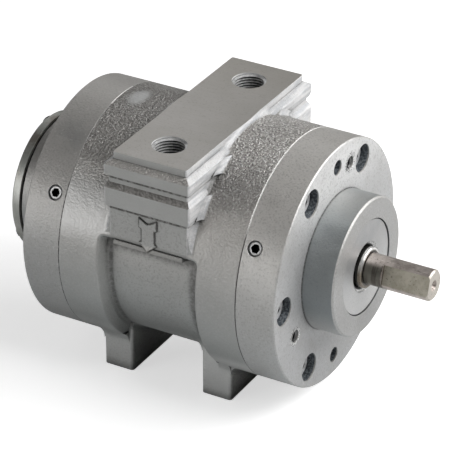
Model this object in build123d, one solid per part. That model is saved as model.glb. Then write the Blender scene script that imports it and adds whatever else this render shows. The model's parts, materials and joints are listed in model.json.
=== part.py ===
from build123d import *
import math
import os

# Foot-mounted rotary vane air motor, in millimetres.
# +X runs along the output shaft, +Z is up, and the origin is the centre of the four
# foot bolt holes on the plane that the feet stand on.

# Main axes
shaft_height = 88.9
drum_offset = 3.05
eccentricity = 6.0
drum_z = shaft_height - drum_offset
chamber_z = shaft_height - eccentricity

# How far a cutter runs past the face that it cuts
over = 1.0

# Drum and end plates
drum_radius = 76.2
body_length = 119.0
body_shift = 4.8
plate_thickness = 25.2
face_chamfer = 0.7
front_joint_chamfer = 0.4
rear_joint_chamfer = 0.15
front_joint_x = body_shift + body_length / 2
rear_joint_x = body_shift - body_length / 2
face_x = front_joint_x + plate_thickness
rear_face_x = rear_joint_x - plate_thickness

# Chamber, rotor and vanes
chamber_wall = 24.2
chamber_radius = drum_radius - chamber_wall
running_gap = 0.3
end_gap = 0.15
rotor_radius = chamber_radius - eccentricity - running_gap
rotor_seat_radius = 14.0
vane_count = 4
vane_thickness = 4.0
vane_side_gap = 0.1
vane_end_gap = 0.05
vane_floor_gap = 2.0
vane_tip_fillet = 1.5
slot_floor_wall = 3.4
slot_floor_radius = rotor_seat_radius + slot_floor_wall
vane_height = rotor_radius - running_gap - vane_floor_gap - slot_floor_radius
first_vane_angle = 45.0

# Waist between the two flanges of the drum
waist_depth = 8.5
waist_radius = drum_radius - waist_depth
waist_length = 66.0
waist_wall_slope = 3.6
waist_fillet = 2.5
flange_corner_fillet = 1.6
waist_corner = 3.0
waist_top_angle = 16.9
pad_lip_angle = 14.9
pad_lip_length = 46.0

# Port block and its two ledges
block_length = 48.5
block_side_inset = 6.35
block_width = 2 * (drum_radius - block_side_inset)
block_height = 78.2
block_corner = 1.2
block_root = drum_radius * math.sin(math.radians(waist_top_angle)) + over
neck_reach = 2.1
ledge_reach = 4.3
ledge_corner = 1.6
ledge_edge = 0.2
block_root_half = math.sqrt(drum_radius ** 2 - block_root ** 2) - ledge_edge
ledge_gap = 3.8
upper_ledge_height = 10.3
lower_ledge_height = 16.2
upper_ledge_drop = 4.5
upper_ledge_top = block_height - upper_ledge_drop
upper_ledge_bottom = upper_ledge_top - upper_ledge_height
lower_ledge_top = upper_ledge_bottom - ledge_gap
lower_ledge_bottom = lower_ledge_top - lower_ledge_height
upper_ledge_slope = 2.6
lower_ledge_slope = 3.5
ledge_under_slope = 1.2

# Ports
port_radius = 10.5
port_depth = 20.0
port_from_side = 22.75
port_spacing = block_width - 2 * port_from_side
passage_radius = 8.0

# Feet
foot_spacing = 68.0
foot_thickness = 20.0
foot_width = 89.0
foot_corner = 2.0
foot_side_fillet = 11.0
root_overlap = 1.6
root_fillet = 4.0
foot_hole_spacing = 63.5
foot_hole_radius = 4.25
foot_hole_depth = 18.0

# Raised rotation arrow below the ledges on the near side
arrow_height = 41.2
arrow_length = 21.0
arrow_notch = 3.4
arrow_tail_length = 6.2
arrow_head_length = 4.8
arrow_tail_width = 11.9
arrow_stem_width = 8.8
arrow_head_width = 11.6
arrow_rise = 0.8

# Bosses on the end plates
boss_radius = 42.7
boss_height = 20.3
boss_chamfer = 1.0
rear_boss_height = 22.0
web_thickness = 16.0
boss_face_x = face_x + boss_height
rear_boss_x = rear_face_x - rear_boss_height

# Plate screws and pins on one circle about the drum axis
screw_from_rim = 12.7
screw_circle_radius = drum_radius - screw_from_rim
screw_count = 6
screw_radius = 5.0
screw_head_radius = 8.0
screw_head_height = 10.0
screw_hex_width = 8.0
screw_thread_length = 22.0
thread_lead = 0.6
drill_run_out = 3.0
counterbore_radius = 8.75
counterbore_depth = 15.0
screw_clearance = 0.5
tapped_clearance = 0.1
pin_radius = 4.75
pin_length = 34.0
pin_recess = 6.0
pin_clearance = 0.02
pin_chamfer = 0.6

# Tapped holes in the drive plate face, on a circle a little above the shaft axis
face_hole_circle_rise = 1.5
face_hole_circle_radius = 57.15
face_hole_radius = 4.0
face_hole_depth = 16.0
face_hole_angles = (74.0, 210.0)

# Socket plugs in the plate rims
plug_radius = 4.75
plug_length = 8.0
plug_hex_width = 5.0
plug_recess = 0.6
plug_chamfer = 1.2
plug_from_joint = 7.4
plug_angle = 150.2
plug_drill_radius = 2.5
plug_drill_depth = 22.0

# Output shaft
shaft_radius = 9.525
shaft_projection = 63.9
shaft_chamfer = 1.0
journal_radius = 12.5
journal_proud = 2.3
journal_chamfer = 0.5
shaft_tail_length = 1.0
web_bore_gap = 0.5
flat_depth = 2.2
flat_length = 29.8
flat_angle = 163.0
centre_hole_radius = 3.4
centre_drill_radius = 1.0
centre_hole_depth = 7.0
shaft_end_x = face_x + shaft_projection

# Ball bearings
bearing_outer_radius = 26.0
bearing_width = 15.0
ball_radius = 3.8
ball_circle_radius = 19.25
ball_count = 9
ball_gap = 0.2
race_shoulder = 2.9
cage_thickness = 1.3
cage_width = 10.4
drive_bearing_x = front_joint_x + web_thickness
dead_bearing_x = rear_joint_x - web_thickness - bearing_width

# Seal retainer and shaft seal
retainer_radius = 29.4
retainer_gap = 0.3
retainer_recess = 0.7
retainer_edge = 0.4
retainer_hole_radius = 13.0
retainer_dish_width = 2.8
retainer_dish_depth = 1.8
seal_outer_radius = 20.0
seal_width = 7.0
seal_wall = 1.0
seal_lip_height = 2.3
seal_end_gap = 0.5
seal_lip_gap = 0.1
seal_lip_thickness = 1.6
retainer_inner_x = drive_bearing_x + bearing_width + running_gap
retainer_face_x = boss_face_x - retainer_recess
seal_x = retainer_inner_x + seal_end_gap
seal_bore_radius = journal_radius + seal_lip_height

# Rear cap, gasket, spring washer and cap screws
cap_radius = 43.6
cap_thickness = 5.6
cap_chamfer = 1.0
gasket_thickness = 1.4
gasket_inset = 1.8
spigot_gap = 0.15
spigot_wall = 6.0
washer_height = 2.6
washer_thickness = 0.9
washer_band = 5.5
washer_edge = 0.2
washer_gap = 0.5
cap_screw_circle_radius = 38.0
cap_screw_count = 3
cap_screw_radius = 2.5
cap_screw_head_radius = 5.2
cap_screw_head_height = 3.4
cap_screw_thread_length = 12.0
cap_screw_hex_width = 3.0
cap_x = rear_boss_x - gasket_thickness
cap_face_x = cap_x - cap_thickness
spigot_end_x = dead_bearing_x - washer_height


def bar(radius, start, end, y=0.0, z=shaft_height):
    """A round bar along X from start to end."""
    return Pos((start + end) / 2, y, z) * Rot(0, 90, 0) * Cylinder(radius, end - start)


def turned(points, z=shaft_height):
    """A solid turned about an axis along X, from points of (x, radius)."""
    outline = Polyline([(x, 0, radius) for x, radius in points], close=True)
    return Pos(0, 0, z) * revolve(make_face(outline), Axis.X, 360)


def polar(radius, angle, z):
    """The y and z of a point on a circle about a height z; 90 degrees is up."""
    turn = math.radians(angle)
    return radius * math.cos(turn), z + radius * math.sin(turn)


def hex_bar(across_flats, start, end):
    """A hexagonal bar along X on the X axis."""
    bar_face = RegularPolygon(across_flats / 2, 6, major_radius=False)
    return Pos(start, 0, 0) * Rot(0, 90, 0) * extrude(bar_face, end - start)


def group(name, solids):
    """One part made of separate solids."""
    return name, Compound(children=list(solids))


# Body casting

def cast_root(face_x, radius, out, width, bottom, top):
    """The hollow cast corner between a flat face across X and the round of the drum."""
    section = Polyline(
        (-out * root_overlap, 0, radius - root_overlap),
        (out * root_fillet, 0, radius - root_overlap),
        (out * root_fillet, 0, radius),
        (0, 0, radius + root_fillet),
        (-out * root_overlap, 0, radius + root_fillet),
        close=True,
    )
    hollow = Pos(out * root_fillet, 0, radius + root_fillet) * Rot(90, 0, 0) * Circle(root_fillet)
    corner = make_face(section) - hollow
    ring = Pos(face_x, 0, drum_z) * revolve(corner, Axis.X, 360)
    return ring & Pos(face_x, 0, (bottom + top) / 2) * Box(3 * root_fillet, width, top - bottom)


def ledge(bottom, top, slope, inner_reach):
    """A rib all round the port block, sloped above and almost flat below."""
    length = block_length + 2 * ledge_reach
    width = block_width + 2 * ledge_reach
    outline = RectangleRounded(length, width, ledge_corner)
    rib = extrude(Rectangle(length, width), top - bottom)
    rib = chamfer(rib.edges().group_by(Axis.Z)[-1], slope, ledge_reach - inner_reach)
    rib = chamfer(rib.edges().group_by(Axis.Z)[0], ledge_under_slope, ledge_reach - ledge_edge)
    rib &= extrude(outline, top - bottom)
    return Pos(body_shift, 0, drum_z + bottom) * rib


def block_neck(rise):
    """The block below its upper ledge, with cast draft; its ends meet the drum just over the pad lips."""
    top = upper_ledge_bottom + 2 * ledge_under_slope
    section = Polyline(
        (0, -block_root_half - rise, block_root),
        (0, -block_width / 2 - neck_reach - rise, top),
        (0, block_width / 2 + neck_reach + rise, top),
        (0, block_root_half + rise, block_root),
        close=True,
    )
    half = block_length / 2 + neck_reach
    neck = Pos(-half, 0, 0) * extrude(make_face(section), 2 * half, dir=(1, 0, 0))
    corners = neck.edges().filter_by(lambda edge: abs(edge.tangent_at(0).Z) > 0.9)
    return Pos(body_shift, 0, drum_z) * fillet(corners, block_corner)


def port_block():
    """The block over the drum, with its two ledges."""
    outline = RectangleRounded(block_length, block_width, block_corner)
    start = drum_z + upper_ledge_bottom
    block = Pos(body_shift, 0, start) * extrude(outline, block_height - upper_ledge_bottom)
    block += block_neck(0)
    block += ledge(upper_ledge_bottom, upper_ledge_top, upper_ledge_slope, ledge_edge)
    block += ledge(lower_ledge_bottom, lower_ledge_top, lower_ledge_slope, neck_reach)
    upper_edge = upper_ledge_top - upper_ledge_slope
    lower_edge = lower_ledge_top - lower_ledge_slope
    slabs = (
        (0, upper_ledge_bottom, block_height),
        (neck_reach, block_root, upper_ledge_bottom),
        (ledge_reach, upper_ledge_bottom + ledge_under_slope, upper_edge),
        (ledge_reach, lower_ledge_bottom + ledge_under_slope, lower_edge),
    )
    for reach, low, high in slabs:
        for side in (-1, 1):
            face = body_shift + side * (block_length / 2 + reach)
            width = block_width + 2 * reach
            block += cast_root(face, drum_radius, side, width, drum_z + low, drum_z + high)
    return block


def waist_cutter():
    """The ring that is missing from the drum between its flanges, below the pads."""
    half = waist_length / 2
    floor_half = half - waist_wall_slope
    rim_half = half + waist_wall_slope * over / (drum_radius - waist_radius)
    section = Polyline(
        (-floor_half, 0, waist_radius),
        (floor_half, 0, waist_radius),
        (rim_half, 0, drum_radius + over),
        (-rim_half, 0, drum_radius + over),
        close=True,
    )
    start = Rot(-90 + waist_top_angle, 0, 0) * make_face(section)
    ring = revolve(start, Axis.X, -180 - 2 * waist_top_angle)
    ends = ring.faces().filter_by(GeomType.PLANE).edges().filter_by(GeomType.LINE)
    walls = [edge for edge in ends if floor_half < abs(edge.center().X) < half]
    ring = fillet(walls, waist_corner)
    return fillet(edges_at_radius(ring, waist_radius), waist_fillet)


def edges_at_radius(shape, radius):
    """The edges of a shape about the X axis that keep to one radius between the flanges."""
    inside = waist_length / 2 + over
    found = []
    for edge in shape.edges():
        ends = [abs(math.hypot(end.Y, end.Z) - radius) < ledge_edge for end in edge.vertices()]
        if all(ends) and all(abs(end.X) < inside for end in edge.vertices()):
            found.append(edge)
    return found


def pad_lip(side):
    """The lower edge of one side pad, a little below the end of the waist."""
    half = pad_lip_length / 2
    section = Polyline(
        (body_shift - half, 0, waist_radius - over),
        (body_shift + half, 0, waist_radius - over),
        (body_shift + half, 0, drum_radius),
        (body_shift - half, 0, drum_radius),
        close=True,
    )
    start = Rot(side * (90 - waist_top_angle), 0, 0) * make_face(section)
    return Pos(0, 0, drum_z) * revolve(start, Axis.X, side * (waist_top_angle - pad_lip_angle))


def foot(x):
    """One cast foot, tapped from below at both ends."""
    outline = RectangleRounded(foot_thickness, foot_width, foot_corner)
    half = foot_width / 2
    top = drum_z - math.sqrt(waist_radius ** 2 - half ** 2) + root_overlap
    return Pos(x, 0, 0) * extrude(outline, top)


def foot_side(start, end, radius, side):
    """The hollow cast corner between one end face of a foot and the round of the drum."""
    centre_y = foot_width / 2 + foot_side_fillet
    reach = radius + foot_side_fillet
    centre_z = -math.sqrt(reach ** 2 - centre_y ** 2)
    shrink = radius / reach
    section = Polyline(
        (start, foot_width / 2, centre_z),
        (start, centre_y, centre_z),
        (start, centre_y * shrink, centre_z * shrink),
        (start, foot_width / 2 - root_overlap, centre_z * shrink),
        (start, foot_width / 2 - root_overlap, centre_z),
        close=True,
    )
    corner = extrude(make_face(section), end - start, dir=(1, 0, 0))
    corner -= bar(foot_side_fillet, start - over, end + over, centre_y, centre_z)
    if side < 0:
        corner = mirror(corner, about=Plane.XZ)
    return Pos(0, 0, drum_z) * corner


def rotation_arrow():
    """The raised arrow on the near side, pointing down from the block to the drum."""
    neck = arrow_height - arrow_tail_length
    tip = arrow_height - arrow_length
    half_outline = Polyline(
        (0, arrow_height - arrow_notch),
        (arrow_tail_width / 2, arrow_height),
        (arrow_tail_width / 2, neck),
        (arrow_stem_width / 2, neck - arrow_rise),
        (arrow_stem_width / 2, tip + arrow_head_length + arrow_rise),
        (arrow_head_width / 2, tip + arrow_head_length),
        (0, tip),
        close=True,
    )
    outline = make_face(half_outline)
    outline += mirror(outline, about=Plane.YZ)
    prism = Pos(body_shift, 0, drum_z) * extrude(Plane.XZ * outline, drum_radius + arrow_rise)
    skin = bar(drum_radius + arrow_rise, rear_joint_x, front_joint_x, 0, drum_z)
    return prism & (skin + block_neck(arrow_rise))


def body_casting():
    """Drum, port block, feet and chamber, cast as one piece."""
    half = body_length / 2
    casting = turned([
        (-half, 0),
        (-half, drum_radius - rear_joint_chamfer),
        (-half + rear_joint_chamfer, drum_radius),
        (half - front_joint_chamfer, drum_radius),
        (half, drum_radius - front_joint_chamfer),
        (half, 0),
    ], 0)
    casting -= waist_cutter()
    casting = fillet(edges_at_radius(casting, drum_radius), flange_corner_fillet)
    casting = Pos(body_shift, 0, drum_z) * casting
    casting += pad_lip(1)
    casting += pad_lip(-1)
    casting += port_block()
    for side in (-1, 1):
        casting += foot(side * foot_spacing / 2)
        inner_face = side * (foot_spacing - foot_thickness) / 2
        outer_face = side * (foot_spacing + foot_thickness) / 2
        casting += cast_root(inner_face, waist_radius, -side, foot_width, 0, drum_z)
        casting += cast_root(outer_face, drum_radius, side, foot_width, 0, drum_z)
        flange = body_shift + side * (waist_length - waist_wall_slope) / 2
        for end in (-1, 1):
            casting += foot_side(*sorted((inner_face, flange)), waist_radius, end)
            casting += foot_side(*sorted((flange, outer_face)), drum_radius, end)
    casting += rotation_arrow()
    casting -= bar(chamber_radius, rear_joint_x - over, front_joint_x + over, 0, chamber_z)
    top = drum_z + block_height
    for side in (-1, 1):
        y = side * port_spacing / 2
        casting -= Pos(body_shift, y, top - port_depth / 2) * Cylinder(port_radius, port_depth)
        casting -= Pos(body_shift, y, (top + chamber_z) / 2) * Cylinder(passage_radius, top - chamber_z)
        for x in (-foot_spacing / 2, foot_spacing / 2):
            hole = Cylinder(foot_hole_radius, foot_hole_depth)
            casting -= Pos(x, side * foot_hole_spacing / 2, foot_hole_depth / 2) * hole
    for number in range(screw_count):
        y, z = polar(screw_circle_radius, 360 * number / screw_count, drum_z)
        radius = screw_radius + tapped_clearance
        deep = screw_thread_length + drill_run_out
        casting -= bar(radius, front_joint_x - deep, front_joint_x + over, y, z)
        casting -= bar(radius, rear_joint_x - over, rear_joint_x + deep, y, z)
    for angle in (90, 270):
        y, z = polar(screw_circle_radius, angle, drum_z)
        deep = pin_length + pin_recess - plate_thickness + over
        casting -= bar(pin_radius + pin_clearance, front_joint_x - deep, front_joint_x + over, y, z)
        casting -= bar(pin_radius + pin_clearance, rear_joint_x - over, rear_joint_x + deep, y, z)
    return casting


# End plates

def rim_hole(x):
    """The tapped rim hole and the drilling that runs in from its floor."""
    depth = plug_length + plug_recess
    tapped = Cylinder(plug_radius + pin_clearance, depth + over)
    drilled = Cylinder(plug_drill_radius, plug_drill_depth)
    cutter = Pos(0, 0, drum_radius - depth / 2 + over / 2) * tapped
    cutter += Pos(0, 0, drum_radius - plug_drill_depth / 2) * drilled
    return Pos(x, 0, drum_z) * Rot(plug_angle - 90, 0, 0) * cutter


def plate_holes(plate, joint_x, outer_x):
    """Screw counterbores and pin holes through a plate."""
    out = math.copysign(1, outer_x - joint_x)
    for number in range(screw_count):
        y, z = polar(screw_circle_radius, 360 * number / screw_count, drum_z)
        floor = outer_x - out * counterbore_depth
        ends = sorted((floor, outer_x + out * over))
        plate -= bar(counterbore_radius, ends[0], ends[1], y, z)
        ends = sorted((joint_x - out * over, outer_x))
        plate -= bar(screw_radius + screw_clearance, ends[0], ends[1], y, z)
    for angle in (90, 270):
        y, z = polar(screw_circle_radius, angle, drum_z)
        ends = sorted((joint_x - out * over, outer_x + out * over))
        plate -= bar(pin_radius + pin_clearance, ends[0], ends[1], y, z)
    return plate


def plate_disc(joint_x, outer_x, joint_chamfer):
    """The round of a plate, with a small edge at the joint and a wider one outside."""
    out = math.copysign(1, outer_x - joint_x)
    return turned([
        (joint_x, 0),
        (joint_x, drum_radius - joint_chamfer),
        (joint_x + out * joint_chamfer, drum_radius),
        (outer_x - out * face_chamfer, drum_radius),
        (outer_x, drum_radius - face_chamfer),
        (outer_x, 0),
    ], drum_z)


def drive_end_plate():
    """Front plate with its boss, bearing bore and retainer recess."""
    plate = plate_disc(front_joint_x, face_x, front_joint_chamfer)
    plate += turned([
        (front_joint_x + over, 0),
        (front_joint_x + over, boss_radius),
        (boss_face_x - boss_chamfer, boss_radius),
        (boss_face_x, boss_radius - boss_chamfer),
        (boss_face_x, 0),
    ])
    plate -= bar(rotor_seat_radius + web_bore_gap, front_joint_x - over, drive_bearing_x + over)
    plate -= bar(bearing_outer_radius, drive_bearing_x, boss_face_x)
    plate -= bar(retainer_radius + retainer_gap, retainer_inner_x, boss_face_x + over)
    plate = plate_holes(plate, front_joint_x, face_x)
    for angle in face_hole_angles:
        y, z = polar(face_hole_circle_radius, angle, shaft_height + face_hole_circle_rise)
        plate -= bar(face_hole_radius, face_x - face_hole_depth, face_x + over, y, z)
    plate -= rim_hole(front_joint_x + plug_from_joint)
    return plate


def dead_end_plate():
    """Rear plate with its boss and bearing bore."""
    plate = plate_disc(rear_joint_x, rear_face_x, rear_joint_chamfer)
    plate += turned([
        (rear_joint_x - over, 0),
        (rear_joint_x - over, boss_radius),
        (rear_boss_x, boss_radius),
        (rear_boss_x, 0),
    ])
    bore = rotor_seat_radius + web_bore_gap
    plate -= bar(bore, rear_joint_x - web_thickness - over, rear_joint_x + over)
    plate -= bar(bearing_outer_radius, rear_boss_x - over, rear_joint_x - web_thickness)
    plate = plate_holes(plate, rear_joint_x, rear_face_x)
    for number in range(cap_screw_count):
        y, z = cap_screw_place(number)
        radius = cap_screw_radius + tapped_clearance
        deep = cap_screw_thread_length + drill_run_out
        plate -= bar(radius, rear_boss_x - over, rear_boss_x + deep, y, z)
    plate -= rim_hole(rear_joint_x - plug_from_joint)
    return plate


# Fasteners

def socket_screw(radius, length, head_radius, head_height, socket):
    """A socket head screw along X, its head outside and its seat at x = 0."""
    edge = head_height / 12
    screw = turned([
        (-length, 0),
        (-length, radius - thread_lead),
        (-length + thread_lead, radius),
        (0, radius),
        (0, head_radius),
        (head_height - edge, head_radius),
        (head_height, head_radius - edge),
        (head_height, 0),
    ], 0)
    return screw - hex_bar(socket, head_height / 2, head_height + over)


def plate_screws(seat_x, out):
    """The ring of socket screws that hold one plate."""
    length = plate_thickness - counterbore_depth + screw_thread_length
    for number in range(screw_count):
        y, z = polar(screw_circle_radius, 360 * number / screw_count, drum_z)
        screw = socket_screw(screw_radius, length, screw_head_radius, screw_head_height, screw_hex_width)
        turn = 0 if out > 0 else 180
        yield Pos(seat_x, y, z) * Rot(0, 0, turn) * screw


def dowel_pins():
    """Two pins in each plate, each set below the plate's face."""
    for angle in (90, 270):
        y, z = polar(screw_circle_radius, angle, drum_z)
        for outer_x, out in ((face_x, 1), (rear_face_x, -1)):
            ends = sorted((outer_x - out * pin_recess, outer_x - out * (pin_recess + pin_length)))
            pin = bar(pin_radius, ends[0], ends[1], y, z)
            yield chamfer(pin.edges().filter_by(GeomType.CIRCLE), pin_chamfer)


def rim_plug(x):
    """A socket plug, screwed into a plate's rim."""
    plug = chamfer(Cylinder(plug_radius, plug_length).edges().group_by(Axis.Z)[-1], plug_chamfer)
    socket = extrude(RegularPolygon(plug_hex_width / 2, 6, major_radius=False), plug_length / 2 + over)
    plug -= socket
    depth = drum_radius - plug_recess - plug_length / 2
    return Pos(x, 0, drum_z) * Rot(plug_angle - 90, 0, 0) * Pos(0, 0, depth) * plug


def cap_screw_place(number):
    """The y and z of one rear cap screw; the first is at the top."""
    return polar(cap_screw_circle_radius, 90 + 360 * number / cap_screw_count, shaft_height)


def rear_cap_screws():
    """Round-headed socket screws that hold the rear cap."""
    head_ball_radius = cap_screw_head_radius * 1.1
    head_ball_x = cap_screw_head_height - head_ball_radius
    length = cap_thickness + gasket_thickness + cap_screw_thread_length
    for number in range(cap_screw_count):
        y, z = cap_screw_place(number)
        head = Pos(head_ball_x, 0, 0) * Sphere(head_ball_radius)
        head &= bar(cap_screw_head_radius, 0, cap_screw_head_height, 0, 0)
        screw = head + bar(cap_screw_radius, -length, over, 0, 0)
        socket = hex_bar(cap_screw_hex_width, cap_screw_head_height / 2, cap_screw_head_height + over)
        screw -= socket
        yield Pos(cap_face_x, y, z) * Rot(0, 0, 180) * screw


# Rotor, shaft and vanes

def rotor():
    """The slotted rotor, pressed on the shaft."""
    drum = bar(rotor_radius, rear_joint_x + end_gap, front_joint_x - end_gap)
    drum -= bar(rotor_seat_radius, rear_joint_x, front_joint_x)
    width = vane_thickness + 2 * vane_side_gap
    centre = slot_floor_radius + rotor_radius / 2
    slot = Pos(body_shift, 0, centre) * Box(body_length, width, rotor_radius)
    for number in range(vane_count):
        drum -= Pos(0, 0, shaft_height) * Rot(vane_angle(number), 0, 0) * slot
    return drum


def vane_angle(number):
    """The angle of a vane from straight up."""
    return first_vane_angle + 360 * number / vane_count


def vane(number):
    """One flat vane with a rounded tip, pushed home in its slot."""
    length = body_length - 2 * (end_gap + vane_end_gap)
    blade = Box(length, vane_thickness, vane_height)
    blade = fillet(blade.edges().filter_by(Axis.X).group_by(Axis.Z)[-1], vane_tip_fillet)
    out = rotor_radius - running_gap - vane_height / 2
    return Pos(body_shift, 0, shaft_height) * Rot(vane_angle(number), 0, 0) * Pos(0, 0, out) * blade


def output_shaft():
    """The stepped shaft, with a flat, a chamfered end and a centre hole."""
    journal_end = retainer_face_x + retainer_recess + journal_proud
    shaft = turned([
        (dead_bearing_x - shaft_tail_length, 0),
        (dead_bearing_x - shaft_tail_length, journal_radius - journal_chamfer),
        (dead_bearing_x - shaft_tail_length + journal_chamfer, journal_radius),
        (dead_bearing_x + bearing_width, journal_radius),
        (dead_bearing_x + bearing_width, rotor_seat_radius),
        (drive_bearing_x, rotor_seat_radius),
        (drive_bearing_x, journal_radius),
        (journal_end - journal_chamfer, journal_radius),
        (journal_end, journal_radius - journal_chamfer),
        (journal_end, shaft_radius),
        (shaft_end_x - shaft_chamfer, shaft_radius),
        (shaft_end_x, shaft_radius - shaft_chamfer),
        (shaft_end_x, centre_hole_radius),
        (shaft_end_x - centre_hole_radius - centre_drill_radius, centre_drill_radius),
        (shaft_end_x - centre_hole_depth, centre_drill_radius),
        (shaft_end_x - centre_hole_depth, 0),
    ])
    cut = Box(flat_length + over, 2 * shaft_radius, 2 * shaft_radius)
    reach = 2 * shaft_radius - flat_depth
    cut = Pos(shaft_end_x - (flat_length - over) / 2, 0, reach) * cut
    return shaft - Pos(0, 0, shaft_height) * Rot(flat_angle - 90, 0, 0) * cut


# Bearings

def race_groove(x):
    """The ring that the balls run in."""
    ring = Torus(ball_circle_radius, ball_radius + ball_gap)
    return Pos(x + bearing_width / 2, 0, shaft_height) * Rot(0, 90, 0) * ring


def outer_race(x):
    """Outer race, with its groove."""
    ring = bar(bearing_outer_radius, x, x + bearing_width)
    ring -= bar(ball_circle_radius + race_shoulder, x - over, x + bearing_width + over)
    return ring - race_groove(x)


def inner_race(x):
    """Inner race, with its groove."""
    ring = bar(ball_circle_radius - race_shoulder, x, x + bearing_width)
    ring -= bar(journal_radius, x - over, x + bearing_width + over)
    return ring - race_groove(x)


def ball_places(x):
    """The centres of the balls of one bearing."""
    for number in range(ball_count):
        y, z = polar(ball_circle_radius, 360 * number / ball_count, shaft_height)
        yield Pos(x + bearing_width / 2, y, z)


def balls(x):
    """The balls of one bearing."""
    for place in ball_places(x):
        yield place * Sphere(ball_radius)


def cage(x):
    """A ring with a round pocket for each ball."""
    start = x + (bearing_width - cage_width) / 2
    ring = bar(ball_circle_radius + cage_thickness, start, start + cage_width)
    ring -= bar(ball_circle_radius - cage_thickness, start - over, start + cage_width + over)
    for number in range(ball_count):
        y, z = polar(ball_circle_radius, 360 * number / ball_count, 0)
        pocket = Cylinder(ball_radius + ball_gap, 6 * cage_thickness)
        turn = 360 * number / ball_count - 90
        centre = Pos(x + bearing_width / 2, y, shaft_height + z)
        ring -= centre * Rot(turn, 0, 0) * pocket
    return ring


def spring_washer():
    """A dished washer that preloads the dead bearing from the rear cap's spigot."""
    inner = bearing_outer_radius - washer_band
    outer = bearing_outer_radius - washer_gap
    return turned([
        (spigot_end_x, inner),
        (spigot_end_x + washer_thickness, inner),
        (dead_bearing_x, outer - washer_edge),
        (dead_bearing_x, outer),
        (dead_bearing_x - washer_thickness, outer),
        (spigot_end_x, inner + washer_edge),
    ])


# Seals and rear cap

def seal_retainer():
    """The disc in the front boss, dished round the shaft, with a pocket behind for the seal."""
    disc = turned([
        (retainer_inner_x, seal_outer_radius),
        (retainer_inner_x, retainer_radius),
        (retainer_face_x - retainer_edge, retainer_radius),
        (retainer_face_x, retainer_radius - retainer_edge),
        (retainer_face_x, retainer_hole_radius + retainer_dish_width),
        (retainer_face_x - retainer_dish_depth, retainer_hole_radius),
        (seal_x + seal_width, retainer_hole_radius),
        (seal_x + seal_width, seal_outer_radius),
    ])
    return disc


def shaft_seal_case():
    """The pressed steel can of the shaft seal."""
    end = seal_x + seal_width
    return turned([
        (seal_x, seal_outer_radius - seal_wall),
        (seal_x, seal_outer_radius),
        (end, seal_outer_radius),
        (end, seal_bore_radius),
        (end - seal_wall, seal_bore_radius),
        (end - seal_wall, seal_outer_radius - seal_wall),
    ])


def shaft_seal_lip():
    """The rubber lip, bonded inside the can and bearing on the journal."""
    end = seal_x + seal_width
    lip = journal_radius + seal_lip_gap
    return turned([
        (seal_x + seal_lip_thickness / 2, lip + seal_lip_thickness),
        (seal_x + seal_lip_thickness, lip),
        (seal_x + seal_lip_thickness * 2, lip + seal_lip_thickness / 2),
        (end - seal_wall, lip + seal_lip_thickness / 2),
        (end, lip),
        (end, seal_bore_radius),
        (end - seal_wall, seal_bore_radius),
        (end - seal_wall, seal_outer_radius - seal_wall),
        (seal_x + seal_width / 2, seal_outer_radius - seal_wall),
        (seal_x + seal_width / 2, lip + seal_lip_thickness),
    ])


def rear_end_cap():
    """The round cap with a spigot that closes the rear bearing bore."""
    spigot = bearing_outer_radius - spigot_gap
    cap = turned([
        (cap_face_x, 0),
        (cap_face_x, cap_radius - cap_chamfer),
        (cap_face_x + cap_chamfer, cap_radius),
        (cap_x, cap_radius),
        (cap_x, spigot),
        (spigot_end_x, spigot),
        (spigot_end_x, spigot - spigot_wall),
        (cap_x, spigot - spigot_wall),
        (cap_x, 0),
    ])
    for number in range(cap_screw_count):
        y, z = cap_screw_place(number)
        cap -= bar(cap_screw_radius + screw_clearance / 2, cap_face_x - over, cap_x + over, y, z)
    return cap


def rear_cap_gasket():
    """The black gasket between the rear cap and its boss."""
    gasket = turned([
        (cap_x, bearing_outer_radius),
        (cap_x, cap_radius - gasket_inset),
        (rear_boss_x, cap_radius - gasket_inset),
        (rear_boss_x, bearing_outer_radius),
    ])
    for number in range(cap_screw_count):
        y, z = cap_screw_place(number)
        gasket -= bar(cap_screw_radius + screw_clearance / 2, cap_x - over, rear_boss_x + over, y, z)
    return gasket


screw_seat_front = face_x - counterbore_depth
screw_seat_rear = rear_face_x + counterbore_depth
pieces = [
    ("body_casting", body_casting()),
    ("drive_end_plate", drive_end_plate()),
    ("dead_end_plate", dead_end_plate()),
    group("drive_plate_screws", plate_screws(screw_seat_front, 1)),
    group("dead_plate_screws", plate_screws(screw_seat_rear, -1)),
    group("dowel_pins", dowel_pins()),
    ("drive_plate_plug", rim_plug(front_joint_x + plug_from_joint)),
    ("dead_plate_plug", rim_plug(rear_joint_x - plug_from_joint)),
    ("seal_retainer", seal_retainer()),
    ("shaft_seal_case", shaft_seal_case()),
    ("shaft_seal_lip", shaft_seal_lip()),
    ("output_shaft", output_shaft()),
    ("rotor", rotor()),
    ("drive_bearing_outer_race", outer_race(drive_bearing_x)),
    ("drive_bearing_inner_race", inner_race(drive_bearing_x)),
    group("drive_bearing_balls", balls(drive_bearing_x)),
    ("drive_bearing_cage", cage(drive_bearing_x)),
    ("dead_bearing_outer_race", outer_race(dead_bearing_x)),
    ("dead_bearing_inner_race", inner_race(dead_bearing_x)),
    group("dead_bearing_balls", balls(dead_bearing_x)),
    ("dead_bearing_cage", cage(dead_bearing_x)),
    ("bearing_spring_washer", spring_washer()),
    ("rear_end_cap", rear_end_cap()),
    ("rear_cap_gasket", rear_cap_gasket()),
    group("rear_cap_screws", rear_cap_screws()),
]
for number in range(vane_count):
    pieces.append((f"vane_{number + 1}", vane(number)))

os.makedirs("parts", exist_ok=True)
for name, shape in pieces:
    export_step(shape, f"parts/{name}.step")
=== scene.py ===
import json
import math

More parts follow.
